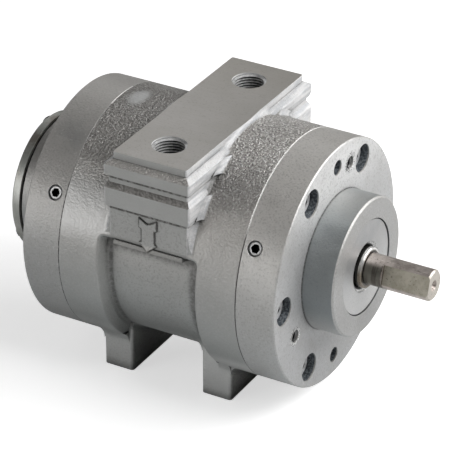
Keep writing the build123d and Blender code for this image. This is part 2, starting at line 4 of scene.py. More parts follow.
import bpy
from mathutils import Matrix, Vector


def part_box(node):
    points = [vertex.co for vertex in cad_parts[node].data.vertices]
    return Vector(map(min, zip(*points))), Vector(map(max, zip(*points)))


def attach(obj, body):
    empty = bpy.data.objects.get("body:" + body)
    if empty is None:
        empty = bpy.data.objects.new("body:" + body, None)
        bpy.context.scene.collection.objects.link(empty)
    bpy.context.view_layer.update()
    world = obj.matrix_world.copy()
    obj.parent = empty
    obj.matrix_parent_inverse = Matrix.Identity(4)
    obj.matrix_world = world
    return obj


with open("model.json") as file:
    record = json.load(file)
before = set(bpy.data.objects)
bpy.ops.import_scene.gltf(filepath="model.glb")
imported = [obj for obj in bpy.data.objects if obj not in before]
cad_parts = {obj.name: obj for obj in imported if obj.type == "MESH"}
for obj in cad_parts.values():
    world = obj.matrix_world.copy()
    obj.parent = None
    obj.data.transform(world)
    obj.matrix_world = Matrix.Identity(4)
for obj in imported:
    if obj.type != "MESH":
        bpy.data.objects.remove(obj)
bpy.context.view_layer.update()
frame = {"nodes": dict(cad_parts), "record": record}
nodes = frame["nodes"]
mounts = {mount["name"]: mount for mount in frame["record"]["mounts"]}


# Body casting: one sand casting, painted silver. The block's top is milled after painting,
# the bore and the ports are machined, and the rest keeps the grain of the sand. Four tapped
# holes in its feet hold it down.

body_low, body_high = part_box("body_casting")
dead_joint_x = body_low[0]
drive_joint_x = body_high[0]
drum_radius = body_high[1]
block_top_z = body_high[2]
drum_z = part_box("drive_end_plate")[1][2] - drum_radius
port_x = mounts["port_far"]["pos_m"][0]
port_y = mounts["port_far"]["pos_m"][1]
port_radius = mounts["port_far"]["dims"]["r_mm"] / 1000
rim_skin = 0.0006
joint_low_z = 0.126
joint_high_z = 0.134
drive_dark_half = 0.00020
drive_highlight_half = 0.00045
dead_half = 0.00035
dead_highlight_y = (-0.0135, 0.0110)
joint_and_shade_black = (0.05, 0.05, 0.05, 1)
dead_joint_black = (0.04, 0.04, 0.04, 1)
joint_highlight = (0.95, 0.94, 0.92, 1)


def new_finish(name):
    """A material with an empty node tree, its surface shader and its own coordinates."""
    finish = bpy.data.materials.new(name)
    finish.use_nodes = True
    tree = finish.node_tree
    shader = tree.nodes["Principled BSDF"]
    place = tree.nodes.new("ShaderNodeTexCoord")
    return finish, tree, shader, place.outputs["Object"]


def add(tree, kind, inputs, **settings):
    """A node with its settings, each input given a value or linked to a socket."""
    made = tree.nodes.new("ShaderNode" + kind)
    for key, value in settings.items():
        setattr(made, key, value)
    for key, value in inputs.items():
        if isinstance(value, bpy.types.NodeSocket):
            tree.links.new(value, made.inputs[key])
        else:
            made.inputs[key].default_value = value
    return made


def link(tree, socket, shader, name):
    """Joins a socket to one of the shader's inputs."""
    tree.links.new(socket, shader.inputs[name])


def give(finish, *names):
    """Puts one finish on CAD nodes."""
    for name in names:
        mesh = nodes[name].data
        mesh.materials.clear()
        mesh.materials.append(finish)


def calc(tree, operation, first, *others):
    """One sum carried through two or more numbers or sockets, from left to right."""
    total = first
    for other in others:
        total = add(tree, "Math", {0: total, 1: other}, operation=operation).outputs[0]
    return total


def times(tree, *values):
    """The product of some numbers or sockets."""
    return calc(tree, "MULTIPLY", *values)


def most(tree, *values):
    """The highest of some numbers or sockets."""
    return calc(tree, "MAXIMUM", *values)


def least(tree, *values):
    """The lowest of some numbers or sockets."""
    return calc(tree, "MINIMUM", *values)


def minus(tree, value, taken):
    """One number less another."""
    return calc(tree, "SUBTRACT", value, taken)


def over(tree, value, limit):
    """One where a value is over a limit, and zero elsewhere."""
    return calc(tree, "GREATER_THAN", value, limit)


def under(tree, value, limit):
    """One where a value is under a limit, and zero elsewhere."""
    return calc(tree, "LESS_THAN", value, limit)


def unsigned(tree, value):
    """A number without its sign."""
    return add(tree, "Math", {0: value}, operation="ABSOLUTE").outputs[0]


def apart(tree, value, mark):
    """How far a number is from a mark, on either side."""
    return unsigned(tree, minus(tree, value, mark))


def ramp(tree, value, low, high, start=0.0, end=1.0):
    """A value carried smoothly from start to end as it goes from low to high."""
    inputs = {"Value": value, "From Min": low, "From Max": high, "To Min": start, "To Max": end}
    return add(tree, "MapRange", inputs, interpolation_type="SMOOTHSTEP").outputs[0]


def band(tree, value, low, high, edge):
    """One between two values and zero outside them, with soft edges."""
    inside = ramp(tree, value, low - edge, low + edge)
    return times(tree, inside, ramp(tree, value, high + edge, high - edge))


def mix(tree, factor, a, b):
    """Two colours mixed."""
    made = add(tree, "Mix", {0: factor, 6: a, 7: b}, data_type="RGBA")
    return made.outputs[2]


def noise(tree, place, scale, detail=2.0, rough=0.5):
    """A cloudy noise at one scale."""
    inputs = {"Vector": place, "Scale": scale, "Detail": detail, "Roughness": rough}
    return add(tree, "TexNoise", inputs).outputs[0]


def drawn_out(tree, place, scales, detail=2.0, rough=0.5):
    """A noise drawn out into streaks, by a scale for each of the three directions."""
    drawn = add(tree, "Mapping", {"Vector": place, "Scale": scales}).outputs[0]
    return noise(tree, drawn, 1.0, detail, rough)


def bump(tree, height, strength, depth, normal=None):
    """Bumps from a height, given in metres at full strength."""
    inputs = {"Height": height, "Strength": strength, "Distance": depth}
    if normal is not None:
        inputs["Normal"] = normal
    return add(tree, "Bump", inputs).outputs[0]


def round_edges(tree, radius, samples):
    """The direction that a surface faces, turned at its edges as if they were rounded."""
    return add(tree, "Bevel", {"Radius": radius}, samples=samples).outputs[0]


def shade_mask(tree, reach, low, high, least_value=0.0):
    """One where a surface is open, falling to the least where it lies deep in a corner or a hole: the mask
    for painted shade.
    """
    inside = add(tree, "AmbientOcclusion", {"Distance": reach}, samples=8)
    return ramp(tree, inside.outputs["AO"], low, high, least_value, 1.0)


def split(tree, vector):
    """The three parts of a place or a direction."""
    return add(tree, "SeparateXYZ", {0: vector}).outputs


def length_of(tree, a, b, c=0.0):
    """The length of a vector given by its parts."""
    vector = add(tree, "CombineXYZ", {0: a, 1: b, 2: c}).outputs[0]
    return add(tree, "VectorMath", {0: vector}, operation="LENGTH").outputs["Value"]


def facing(tree):
    """The three parts of the direction that a surface faces, which turns with its piece."""
    return split(tree, add(tree, "TexCoord", {}).outputs["Normal"])


def joint_lines(tree, x, y, z, broken, paint):
    """The joints of the plates: a painted highlight over the top of the drum, a broken dark line below."""
    on_rim = over(tree, length_of(tree, y, minus(tree, z, drum_z)), drum_radius - rim_skin)
    high = ramp(tree, z, joint_low_z, joint_high_z)
    low = ramp(tree, z, joint_high_z, joint_low_z)
    wear = times(tree, ramp(tree, broken, 0.40, 0.60, 0.25, 0.80), ramp(tree, z, 0.020, 0.110, 0.6, 1.0))
    drive = apart(tree, x, drive_joint_x)
    dull = times(tree, under(tree, drive, drive_dark_half), low, on_rim, wear)
    highlight_line = times(tree, under(tree, drive, drive_highlight_half), high, on_rim)
    paint = mix(tree, dull, paint, joint_and_shade_black)
    paint = mix(tree, highlight_line, paint, joint_highlight)
    dead = times(tree, under(tree, apart(tree, x, dead_joint_x), dead_half), on_rim)
    bare_and_highlight = times(tree, band(tree, y, *dead_highlight_y, 0.0005), over(tree, z, drum_z))
    paint = mix(tree, times(tree, dead, bare_and_highlight), paint, joint_highlight)
    return mix(tree, times(tree, dead, low, wear), paint, dead_joint_black)


def to_line(tree, across, up, start, end):
    """The distance of a point on the side of the drum from a straight line between two points."""
    run = end[0] - start[0]
    rise = end[1] - start[1]
    across = minus(tree, across, start[0])
    up = minus(tree, up, start[1])
    along = calc(tree, "ADD", times(tree, across, run), times(tree, up, rise))
    share = calc(tree, "DIVIDE", along, run ** 2 + rise ** 2)
    share = least(tree, most(tree, share, 0.0), 1.0)
    across = minus(tree, across, times(tree, share, run))
    up = minus(tree, up, times(tree, share, rise))
    return length_of(tree, across, up)


cast, tree, shader, place = new_finish("silver_cast_skin")
x, y, z = split(tree, place)
face = facing(tree)
across = unsigned(tree, face[0])
endways = unsigned(tree, face[1])
up = minus(tree, z, drum_z)
from_axis = length_of(tree, y, up)
from_middle = apart(tree, x, port_x)
grain = noise(tree, place, 850.0, 1.5)
coarse = noise(tree, place, 420.0, 2.0, 0.6)
lumps = noise(tree, place, 120.0)
cloud = noise(tree, place, 28.0, 3.0)

# Painted light: the paint is lighter and warmer where it faces up and darker where it faces down.
paint_shaded_below = (0.44, 0.46, 0.455, 1)
paint_lit_above = (0.52, 0.50, 0.475, 1)
paint_cloud = (0.34, 0.335, 0.325, 1)
paint = mix(tree, ramp(tree, face[2], -0.5, 0.75), paint_shaded_below, paint_lit_above)
paint = mix(tree, ramp(tree, cloud, 0.35, 0.65, 0.0, 0.2), paint, paint_cloud)

# Painted shade in the hollows of the grain and painted highlights on its crests, most on what faces up and
# least on the ledges.
waist_reach = drum_radius - 0.0057
pad_reach = drum_radius + 0.0002
ledge_half = 0.0286
hollow_shade = (0.15, 0.14, 0.13, 1)
crest_highlight = (0.92, 0.91, 0.89, 1)
in_waist = times(tree, under(tree, from_axis, waist_reach), ramp(tree, z, 0.020, 0.045))
on_pad = times(tree, over(tree, from_axis, pad_reach), ramp(tree, z, 0.135, 0.125))
off_block = ramp(tree, from_middle, ledge_half, ledge_half + 0.0014)
on_ledge = times(tree, ramp(tree, endways, 0.2, 0.4), ramp(tree, off_block, 0.0, 1.0, 0.7, 0.0))
speckle = times(tree, ramp(tree, face[2], 0.45, 0.98, 0.08, 1.0), minus(tree, 1.0, on_ledge))
shaded_hollows = most(tree, speckle, times(tree, most(tree, in_waist, on_pad), 0.32))
paint = mix(tree, times(tree, ramp(tree, grain, 0.48, 0.34), shaded_hollows, 0.68), paint, hollow_shade)
paint = mix(tree, times(tree, ramp(tree, grain, 0.56, 0.64), speckle, 0.76), paint, crest_highlight)

# The drum's shoulders carry painted shade, the rear cheek and the foot ends painted light, and one rubbed
# spot is lighter.
spot_x = -0.0435
shoulder_shade = (0.17, 0.165, 0.155, 1)
cheek_painted_light = (0.80, 0.80, 0.79, 1)
spot_light = (0.60, 0.61, 0.61, 1)
foot_painted_light = (0.80, 0.81, 0.80, 1)
front_end = ramp(tree, x, 0.020, 0.034)
rear_end = ramp(tree, x, -0.020, -0.024)
shoulder = times(tree, band(tree, face[2], 0.66, 0.88, 0.08), front_end, 0.48)
rear_shoulder = times(tree, band(tree, face[2], 0.74, 1.10, 0.05), rear_end, 0.58)
paint = mix(tree, most(tree, shoulder, rear_shoulder), paint, shoulder_shade)
rear_cheek = times(tree, band(tree, face[2], 0.25, 0.64, 0.10), rear_end)
paint = mix(tree, times(tree, rear_cheek, 0.58), paint, cheek_painted_light)
rubbed = length_of(tree, minus(tree, x, spot_x), times(tree, y, 0.6))
rubbed = times(tree, ramp(tree, rubbed, 0.0080, 0.0030), ramp(tree, z, 0.15, 0.155))
paint = mix(tree, times(tree, rubbed, 0.65), paint, spot_light)
foot_end = times(tree, ramp(tree, endways, 0.5, 0.8), ramp(tree, z, 0.045, 0.035))
foot_end = times(tree, foot_end, ramp(tree, x, 0.0, 0.01, 0.35, 0.65))
paint = mix(tree, foot_end, paint, foot_painted_light)

# Painted shade in the waist's corners and low on the casting, and a painted shade line round the raised
# arrow.
waist_front_x = 0.0315
waist_rear_x = -0.0236
waist_top_z = 0.1015
corner_shade = (0.10, 0.10, 0.095, 1)
low_shade = (0.16, 0.165, 0.16, 1)
arrow_shade_line = (0.07, 0.07, 0.06, 1)
arrow_half = (
    (0.0, 0.0378), (0.00595, 0.0412), (0.00595, 0.0350), (0.0044, 0.0342),
    (0.0044, 0.0258), (0.0058, 0.0250), (0.0, 0.0202),
)
front_corner = ramp(tree, x, waist_front_x - 0.0045, waist_front_x)
rear_corner = band(tree, x, waist_rear_x - 0.0012, waist_rear_x + 0.0012, 0.0010)
top_corner = ramp(tree, z, waist_top_z - 0.0060, waist_top_z)
corner = most(tree, front_corner, rear_corner, top_corner)
corner = times(tree, corner, in_waist, ramp(tree, coarse, 0.35, 0.6, 0.45, 0.75))
paint = mix(tree, corner, paint, corner_shade)
low_side = most(tree, in_waist, ramp(tree, face[2], -0.15, -0.35, 0.0, 0.5))
low_side = times(tree, low_side, ramp(tree, z, 0.072, 0.040, 0.0, 0.42))
paint = mix(tree, low_side, paint, low_shade)
edges = [to_line(tree, from_middle, up, start, end) for start, end in zip(arrow_half, arrow_half[1:])]
outline = ramp(tree, least(tree, *edges), 0.00035, 0.00075, 1.0, 0.0)
outline = times(tree, outline, under(tree, y, -0.03), ramp(tree, coarse, 0.38, 0.58, 0.25, 0.80))
paint = mix(tree, outline, paint, arrow_shade_line)

# The long sides of the port block, painted bright with streaks as a painted reflection, with brown pits.
block_side_half = 0.0335
side_reflection_low = (0.55, 0.56, 0.575, 1)
side_reflection_high = (0.76, 0.755, 0.755, 1)
side_pit = (0.42, 0.37, 0.33, 1)
on_block = times(tree, ramp(tree, z, 0.108, 0.112), ramp(tree, across, 0.25, 0.45))
on_block = times(tree, on_block, ramp(tree, from_middle, block_side_half, block_side_half + 0.0005, 1.0, 0.0))
streaks = drawn_out(tree, place, (300.0, 45.0, 420.0), 3.0, 0.6)
side_reflection = mix(tree, ramp(tree, streaks, 0.35, 0.62), side_reflection_low, side_reflection_high)
side_reflection = mix(tree, ramp(tree, grain, 0.42, 0.30, 0.0, 0.25), side_reflection, side_pit)
paint = mix(tree, on_block, paint, side_reflection)

# Painted shade on the slopes of the ledges at the block's ends, and painted shadow in the lines below both
# ledges.
upper_ledge_bottom_z = block_top_z - 0.0148
lower_ledge_bottom_z = upper_ledge_bottom_z - 0.0200
slope_shade = (0.13, 0.125, 0.115, 1)
ledge_groove_shadow = (0.06, 0.057, 0.05, 1)
slope = times(tree, ramp(tree, face[2], 0.25, 0.42), ramp(tree, endways, 0.3, 0.5))
slope = times(tree, slope, ramp(tree, z, 0.128, 0.132), ramp(tree, z, 0.148, 0.153, 0.85, 0.05))
slope = times(tree, slope, ramp(tree, z, 0.138, 0.146, 0.70, 1.0))
slope = times(tree, slope, ramp(tree, coarse, 0.60, 0.40, 0.70, 1.0), minus(tree, 1.0, off_block))
paint = mix(tree, slope, paint, slope_shade)
grooves = []
for bottom_z in (upper_ledge_bottom_z, lower_ledge_bottom_z):
    grooves.append(band(tree, z, bottom_z - 0.0014, bottom_z + 0.0002, 0.0003))
groove = times(tree, most(tree, *grooves), ramp(tree, from_middle, 0.0300, 0.0315, 1.0, 0.0))
groove = times(tree, groove, ramp(tree, coarse, 0.65, 0.42, 0.35, 0.85))
groove = times(tree, groove, ramp(tree, on_block, 0.0, 1.0, 1.0, 0.55))
paint = mix(tree, groove, paint, ledge_groove_shadow)

# Painted shade on the lip under the pad and in the corners, kept lighter on the lip, and a painted shadow
# under the drum between the feet.
lip_low_z = 0.1035
lip_high_z = 0.1100
lip_shade = (0.17, 0.17, 0.16, 1)
corner_deep_shade = (0.09, 0.087, 0.08, 1)
underside_shadow = (0.07, 0.07, 0.068, 1)
on_lip = band(tree, z, lip_low_z, lip_high_z, 0.0008)
on_lip = times(tree, on_lip, ramp(tree, from_middle, 0.024, 0.031, 1.0, 0.0))
under_pad = times(tree, on_lip, under(tree, from_axis, drum_radius + 0.0003), 0.50)
paint = mix(tree, under_pad, paint, lip_shade)
unshaded = most(tree, shade_mask(tree, 0.0016, 0.50, 0.92), ramp(tree, z, 0.050, 0.044), times(tree, on_lip, 0.65))
paint = mix(tree, unshaded, corner_deep_shade, paint)
open_air = most(tree, shade_mask(tree, 0.008, 0.55, 0.95, 0.40), times(tree, on_lip, 0.45))
paint = mix(tree, open_air, corner_shade, paint)
paint = joint_lines(tree, x, y, z, coarse, paint)
unshadowed = most(tree, shade_mask(tree, 0.05, 0.12, 0.45), ramp(tree, endways, 0.4, 0.8))
unshadowed = most(tree, unshadowed, ramp(tree, z, 0.036, 0.041))
paint = mix(tree, unshadowed, underside_shadow, paint)

# The ports' walls are bare, painted near black as shade, with a painted highlight at the mouth.
port_low_z = 0.125
port_wall_shade = (0.04, 0.04, 0.04, 1)
port_mouth_highlight = (0.7, 0.7, 0.7, 1)
off_port = length_of(tree, minus(tree, x, port_x), minus(tree, unsigned(tree, y), port_y))
in_port = under(tree, off_port, port_radius + 0.0002)
in_port = times(tree, in_port, under(tree, face[2], 0.5), over(tree, z, port_low_z))
wall = mix(tree, ramp(tree, z, block_top_z - 0.0014, block_top_z - 0.0008), port_wall_shade, port_mouth_highlight)
paint = mix(tree, in_port, paint, wall)

# The milled top is bare iron with the cutter's fine lines, browner towards its far end.
milled_low = (0.43, 0.415, 0.39, 1)
milled_high = (0.48, 0.465, 0.445, 1)
cutter_line = (0.36, 0.345, 0.32, 1)
far_brown = (0.37, 0.345, 0.30, 1)
milled_pit = (0.25, 0.22, 0.19, 1)
milled = over(tree, z, block_top_z - 0.00008)
lines = drawn_out(tree, place, (90.0, 1400.0, 90.0))
bare_and_highlight = mix(tree, ramp(tree, cloud, 0.3, 0.7), milled_low, milled_high)
bare_and_highlight = mix(tree, ramp(tree, lines, 0.3, 0.7, 0.0, 0.25), bare_and_highlight, cutter_line)
bare_and_highlight = mix(tree, ramp(tree, y, 0.010, 0.060, 0.0, 0.40), bare_and_highlight, far_brown)
bare_and_highlight = mix(tree, ramp(tree, grain, 0.60, 0.70, 0.0, 0.3), bare_and_highlight, milled_pit)

link(tree, mix(tree, milled, paint, bare_and_highlight), shader, "Base Color")
link(tree, ramp(tree, most(tree, milled, speckle), 0.0, 1.0, 0.50, 0.40), shader, "Roughness")
link(tree, ramp(tree, on_block, 0.0, 1.0, 0.5, 0.15), shader, "Metallic")
relief = times(tree, ramp(tree, face[2], 0.35, 1.0, 0.24, 1.0), ramp(tree, on_block, 0.0, 1.0, 1.0, 0.25))
relief = times(tree, relief, ramp(tree, rubbed, 0.0, 1.0, 1.0, 0.25))
relief = times(tree, relief, ramp(tree, rear_cheek, 0.0, 1.0, 1.0, 0.55))
skin = bump(tree, grain, relief, 0.0016, round_edges(tree, 0.0010, 6))
skin = bump(tree, coarse, ramp(tree, relief, 0.30, 1.0, 0.06, 0.6), 0.0012, skin)
skin = bump(tree, lumps, 0.5, 0.0009, skin)
flat = add(tree, "NewGeometry", {}).outputs["Normal"]
skin = add(tree, "Mix", {0: milled, 4: skin, 5: flat}, data_type="VECTOR").outputs[1]
link(tree, skin, shader, "Normal")
give(cast, "body_casting")


# End plates: castings turned all over on the rim, face and boss, then painted the same silver.
# The paint is thin there, so the plates are smoother; the bored holes are rough inside, with painted shade
# on their walls.
# Six screws hold each plate to the body.

plate_thickness = 0.0252
face_x = drive_joint_x + plate_thickness
rear_face_x = dead_joint_x - plate_thickness
face_skin = 0.0002
hole_skin = 0.0009
jack_holes = ((0.01575, 0.14534), (-0.04949, 0.06183))
dead_rim_shaded = (0.44, 0.455, 0.455, 1)
dead_rim_lit = (0.47, 0.455, 0.435, 1)
drive_rim_shaded = (0.49, 0.505, 0.505, 1)
drive_rim_lit = (0.67, 0.65, 0.62, 1)
face_reflection_low = (0.48, 0.485, 0.49, 1)
face_reflection_middle = (0.62, 0.62, 0.62, 1)
face_reflection_high = (0.80, 0.80, 0.795, 1)
boss_face = (0.44, 0.44, 0.435, 1)
plate_cloud = (0.40, 0.395, 0.38, 1)
plate_blotch = (0.32, 0.305, 0.28, 1)
smudge_grey = (0.22, 0.225, 0.225, 1)
fine_dark = (0.27, 0.265, 0.255, 1)
fine_light = (0.75, 0.75, 0.74, 1)
boss_side_shade = (0.25, 0.285, 0.30, 1)
rear_boss_shade = (0.20, 0.20, 0.195, 1)
edge_shade_and_flake_gap = (0.12, 0.12, 0.12, 1)
flake_light = (0.92, 0.92, 0.92, 1)
hole_shade_dark = (0.06, 0.07, 0.08, 1)
hole_light = (0.22, 0.24, 0.26, 1)

plate, tree, shader, place = new_finish("silver_plate_paint")
x, y, z = split(tree, place)
face = facing(tree)
fine = noise(tree, place, 800.0, 3.0, 0.6)
cloud = noise(tree, place, 24.0, 3.0)
blotch = noise(tree, place, 75.0, 4.0, 0.6)
broken = noise(tree, place, 420.0, 2.0, 0.6)
# Painted light: the rims are lighter where they face up and darker where they face down.
upward = ramp(tree, face[2], -0.5, 0.75)
dead_paint = mix(tree, upward, dead_rim_shaded, dead_rim_lit)
drive_paint = mix(tree, upward, drive_rim_shaded, drive_rim_lit)
paint = mix(tree, ramp(tree, x, -0.02, 0.05), dead_paint, drive_paint)
# A painted reflection on the faces, darker low and lighter high.
face_paint = mix(tree, ramp(tree, z, 0.03, 0.15), face_reflection_low, face_reflection_middle)
face_paint = mix(tree, ramp(tree, z, 0.115, 0.150), face_paint, face_reflection_high)
on_boss = over(tree, x, face_x + face_skin)
face_paint = mix(tree, on_boss, face_paint, boss_face)
paint = mix(tree, ramp(tree, face[0], 0.5, 0.95), paint, face_paint)
paint = mix(tree, ramp(tree, cloud, 0.4, 0.65, 0.0, 0.25), paint, plate_cloud)
paint = mix(tree, ramp(tree, blotch, 0.52, 0.70, 0.0, 0.14), paint, plate_blotch)

# A grey smudge on the rim of the rear plate, and a fine dark and light grain all over.
smudge_place = (-0.064, -0.040, 0.150)
steps_away = [minus(tree, part, centre) for part, centre in zip((x, y, z), smudge_place)]
smudge = ramp(tree, length_of(tree, *steps_away), 0.018, 0.004)
smudge = times(tree, smudge, ramp(tree, blotch, 0.35, 0.60, 0.08, 0.40))
paint = mix(tree, smudge, paint, smudge_grey)
paint = mix(tree, ramp(tree, fine, 0.48, 0.36, 0.0, 0.35), paint, fine_dark)
paint = mix(tree, ramp(tree, fine, 0.60, 0.70, 0.0, 0.35), paint, fine_light)

# Painted shade on the drive boss's side with a bluish tint, on the rear boss, and along the edges and in
# corners, broken by the grain.
boss_side = times(tree, on_boss, ramp(tree, face[0], 0.4, 0.2), 0.75)
boss_side = times(tree, boss_side, band(tree, face[2], -0.45, 1.05, 0.25))
paint = mix(tree, boss_side, paint, boss_side_shade)
rear_boss = times(tree, under(tree, x, rear_face_x - face_skin), 0.08)
paint = mix(tree, rear_boss, paint, rear_boss_shade)
unshaded = most(tree, shade_mask(tree, 0.0018, 0.50, 0.90), ramp(tree, fine, 0.50, 0.62, 0.0, 0.5))
paint = mix(tree, unshaded, edge_shade_and_flake_gap, paint)
paint = joint_lines(tree, x, y, z, broken, paint)

# The jack-screw holes tore the paint round their mouths to bright flakes with dark gaps.
flakes = noise(tree, place, 1300.0, 2.0, 0.7)
chip = mix(tree, ramp(tree, flakes, 0.46, 0.54), edge_shade_and_flake_gap, flake_light)
for hole_y, hole_z in jack_holes:
    reach = length_of(tree, minus(tree, y, hole_y), minus(tree, z, hole_z))
    reach = calc(tree, "ADD", reach, times(tree, blotch, 0.004))
    torn = times(tree, ramp(tree, reach, 0.0074, 0.0092, 1.0, 0.0), over(tree, face[0], 0.9), 0.8)
    paint = mix(tree, torn, paint, chip)

# Inside the holes in both faces: rough bare metal, painted dark as shade.
in_hole = times(tree, under(tree, x, face_x - hole_skin), over(tree, x, rear_face_x + hole_skin))
from_axis = length_of(tree, y, minus(tree, z, drum_z))
in_hole = times(tree, in_hole, under(tree, from_axis, drum_radius - 0.0017))
wall = mix(tree, ramp(tree, fine, 0.42, 0.62), hole_shade_dark, hole_light)

link(tree, mix(tree, in_hole, paint, wall), shader, "Base Color")
link(tree, ramp(tree, in_hole, 0.0, 1.0, 0.5, 0.2), shader, "Metallic")
link(tree, ramp(tree, fine, 0.2, 0.8, 0.38, 0.50), shader, "Roughness")
skin = bump(tree, fine, 0.8, 0.0003, round_edges(tree, 0.0004, 6))
link(tree, bump(tree, blotch, 0.4, 0.0006, skin), shader, "Normal")
give(plate, "drive_end_plate", "dead_end_plate")


# Seal retainer: a turned steel disc that closes the front boss over the seal. It is painted with
# the plate but thinner, and the dish in its middle is left bright.

shaft_z = mounts["output_shaft"]["pos_m"][2]
hole_reach = 0.0138
dish_reach = 0.0157
disc_low = (0.45, 0.455, 0.46, 1)
disc_high = (0.54, 0.54, 0.535, 1)
disc_lit_low = (0.80, 0.80, 0.79, 1)
disc_shaded_high = (0.30, 0.30, 0.30, 1)
disc_speck = (0.25, 0.25, 0.245, 1)
dish_dark = (0.38, 0.38, 0.375, 1)
dish_bright = (0.80, 0.80, 0.80, 1)
rim_highlight_colour = (0.95, 0.95, 0.94, 1)
gap_shade = (0.01, 0.01, 0.01, 1)
disc, tree, shader, place = new_finish("turned_disc")
x, y, z = split(tree, place)
from_axis = length_of(tree, y, minus(tree, z, shaft_z))
cloud = noise(tree, place, 60.0, 3.0)
fine = noise(tree, place, 1200.0)
rings = add(tree, "Math", {0: times(tree, from_axis, 9000.0)}, operation="SINE").outputs[0]
paint = mix(tree, ramp(tree, cloud, 0.3, 0.7), disc_low, disc_high)
# Painted light low on the disc and painted shade high on it.
paint = mix(tree, ramp(tree, z, 0.095, 0.075, 0.0, 0.45), paint, disc_lit_low)
paint = mix(tree, ramp(tree, z, 0.090, 0.105, 0.0, 0.30), paint, disc_shaded_high)
paint = mix(tree, ramp(tree, fine, 0.56, 0.66, 0.0, 0.3), paint, disc_speck)
dish = ramp(tree, from_axis, dish_reach, dish_reach + 0.0004, 1.0, 0.0)
dish_metal = mix(tree, ramp(tree, fine, 0.50, 0.60), dish_dark, dish_bright)
paint = mix(tree, dish, paint, dish_metal)
# A painted highlight on the near side of the dish's rim; painted shade in the gap round the shaft and in
# the corners.
rim_highlight = times(tree, band(tree, from_axis, 0.0141, 0.0150, 0.0002), ramp(tree, y, 0.004, -0.002), 0.85)
paint = mix(tree, rim_highlight, paint, rim_highlight_colour)
gap = ramp(tree, from_axis, hole_reach, hole_reach + 0.0004, 1.0, 0.0)
paint = mix(tree, gap, paint, gap_shade)
link(tree, mix(tree, shade_mask(tree, 0.0012, 0.3, 0.7), joint_and_shade_black, paint), shader, "Base Color")
shader.inputs["Metallic"].default_value = 0.6
link(tree, ramp(tree, dish, 0.0, 1.0, 0.44, 0.28), shader, "Roughness")
skin = bump(tree, rings, 0.10, 0.00005)
link(tree, bump(tree, fine, 0.4, 0.0002, skin), shader, "Normal")
give(disc, "seal_retainer")


# Plate screws: socket cap screws of plain steel, sunk in the counterbores of both plates and
# tightened into the body. Their sockets are painted black as shade.

def steel_shades(tree, place, low, high):
    """Plain steel between two shades, with small brown spots."""
    cloud = noise(tree, place, 300.0, 3.0)
    spots = noise(tree, place, 900.0)
    metal = mix(tree, ramp(tree, cloud, 0.3, 0.7), low, high)
    return mix(tree, ramp(tree, spots, 0.55, 0.70, 0.0, 0.5), metal, (0.12, 0.10, 0.08, 1))


def finish_steel(tree, shader, place, metal, metallic):
    """Gives the shader the metal's colour, its sheen and a slight roughness."""
    spots = noise(tree, place, 900.0)
    link(tree, metal, shader, "Base Color")
    shader.inputs["Metallic"].default_value = metallic
    link(tree, ramp(tree, spots, 0.3, 0.7, 0.28, 0.45), shader, "Roughness")
    link(tree, bump(tree, spots, 0.4, 0.0001), shader, "Normal")


# What lies deeper below the plates' faces than the tops of the heads is inside a socket, painted black as
# shade.
socket_shade = (0.004, 0.004, 0.004, 1)
below_heads = 0.0053
screw_steel, tree, shader, place = new_finish("screw_steel")
x, y, z = split(tree, place)
metal = steel_shades(tree, place, (0.60, 0.61, 0.62, 1), (0.85, 0.85, 0.85, 1))
in_socket = times(tree, under(tree, x, face_x - below_heads), over(tree, x, rear_face_x + below_heads))
finish_steel(tree, shader, place, mix(tree, in_socket, metal, socket_shade), 0.4)
give(screw_steel, "drive_plate_screws", "dead_plate_screws")


# Rear cap screws: button-head screws of the same steel, duller because they stand in the open.
# They hold the rear cap on its boss, and their sockets are painted dark as shade.

cap_screw_steel, tree, shader, place = new_finish("cap_screw_steel")
metal = steel_shades(tree, place, (0.36, 0.36, 0.35, 1), (0.52, 0.52, 0.50, 1))
metal = mix(tree, shade_mask(tree, 0.0015, 0.35, 0.75), socket_shade, metal)
finish_steel(tree, shader, place, metal, 0.7)
give(cap_screw_steel, "rear_cap_screws")


# Rim plugs: socket plugs of grey steel, screwed into the rims of both plates to close a drilled
# passage. Each lies just below the rim, and its socket is painted black as shade.

plug_turn = math.radians(150.2)
plug_from_middle = 0.0669
plug_recess = 0.0006
plug_skin = 0.00005
plug_socket_reach = 0.0031
plug_steel, tree, shader, place = new_finish("plug_steel")
x, y, z = split(tree, place)
metal = steel_shades(tree, place, (0.58, 0.58, 0.575, 1), (0.74, 0.74, 0.735, 1))
up = minus(tree, z, drum_z)
beside = minus(tree, apart(tree, x, port_x), plug_from_middle)
sideways = minus(tree, times(tree, up, math.cos(plug_turn)), times(tree, y, math.sin(plug_turn)))
in_socket = under(tree, length_of(tree, beside, sideways), plug_socket_reach)
below_face = under(tree, length_of(tree, y, up), drum_radius - plug_recess - plug_skin)
in_socket = times(tree, in_socket, below_face)
finish_steel(tree, shader, place, mix(tree, in_socket, metal, socket_shade), 0.6)
give(plug_steel, "drive_plate_plug", "dead_plate_plug")


# Dowel pins: hardened and ground pins that line the plates up with the body. They are pressed in
# from both faces and left below them, dark with oil.

pin_steel, tree, shader, place = new_finish("pin_steel")
metal = steel_shades(tree, place, (0.16, 0.15, 0.14, 1), (0.26, 0.25, 0.24, 1))
finish_steel(tree, shader, place, metal, 0.8)
give(pin_steel, "dowel_pins")


# Output shaft: ground steel gone brownish with handling, its journal polished by the seal.
# The flat was milled afterwards and has a paler, beige look. The shaft carries the rotor and
# runs in both ball bearings.

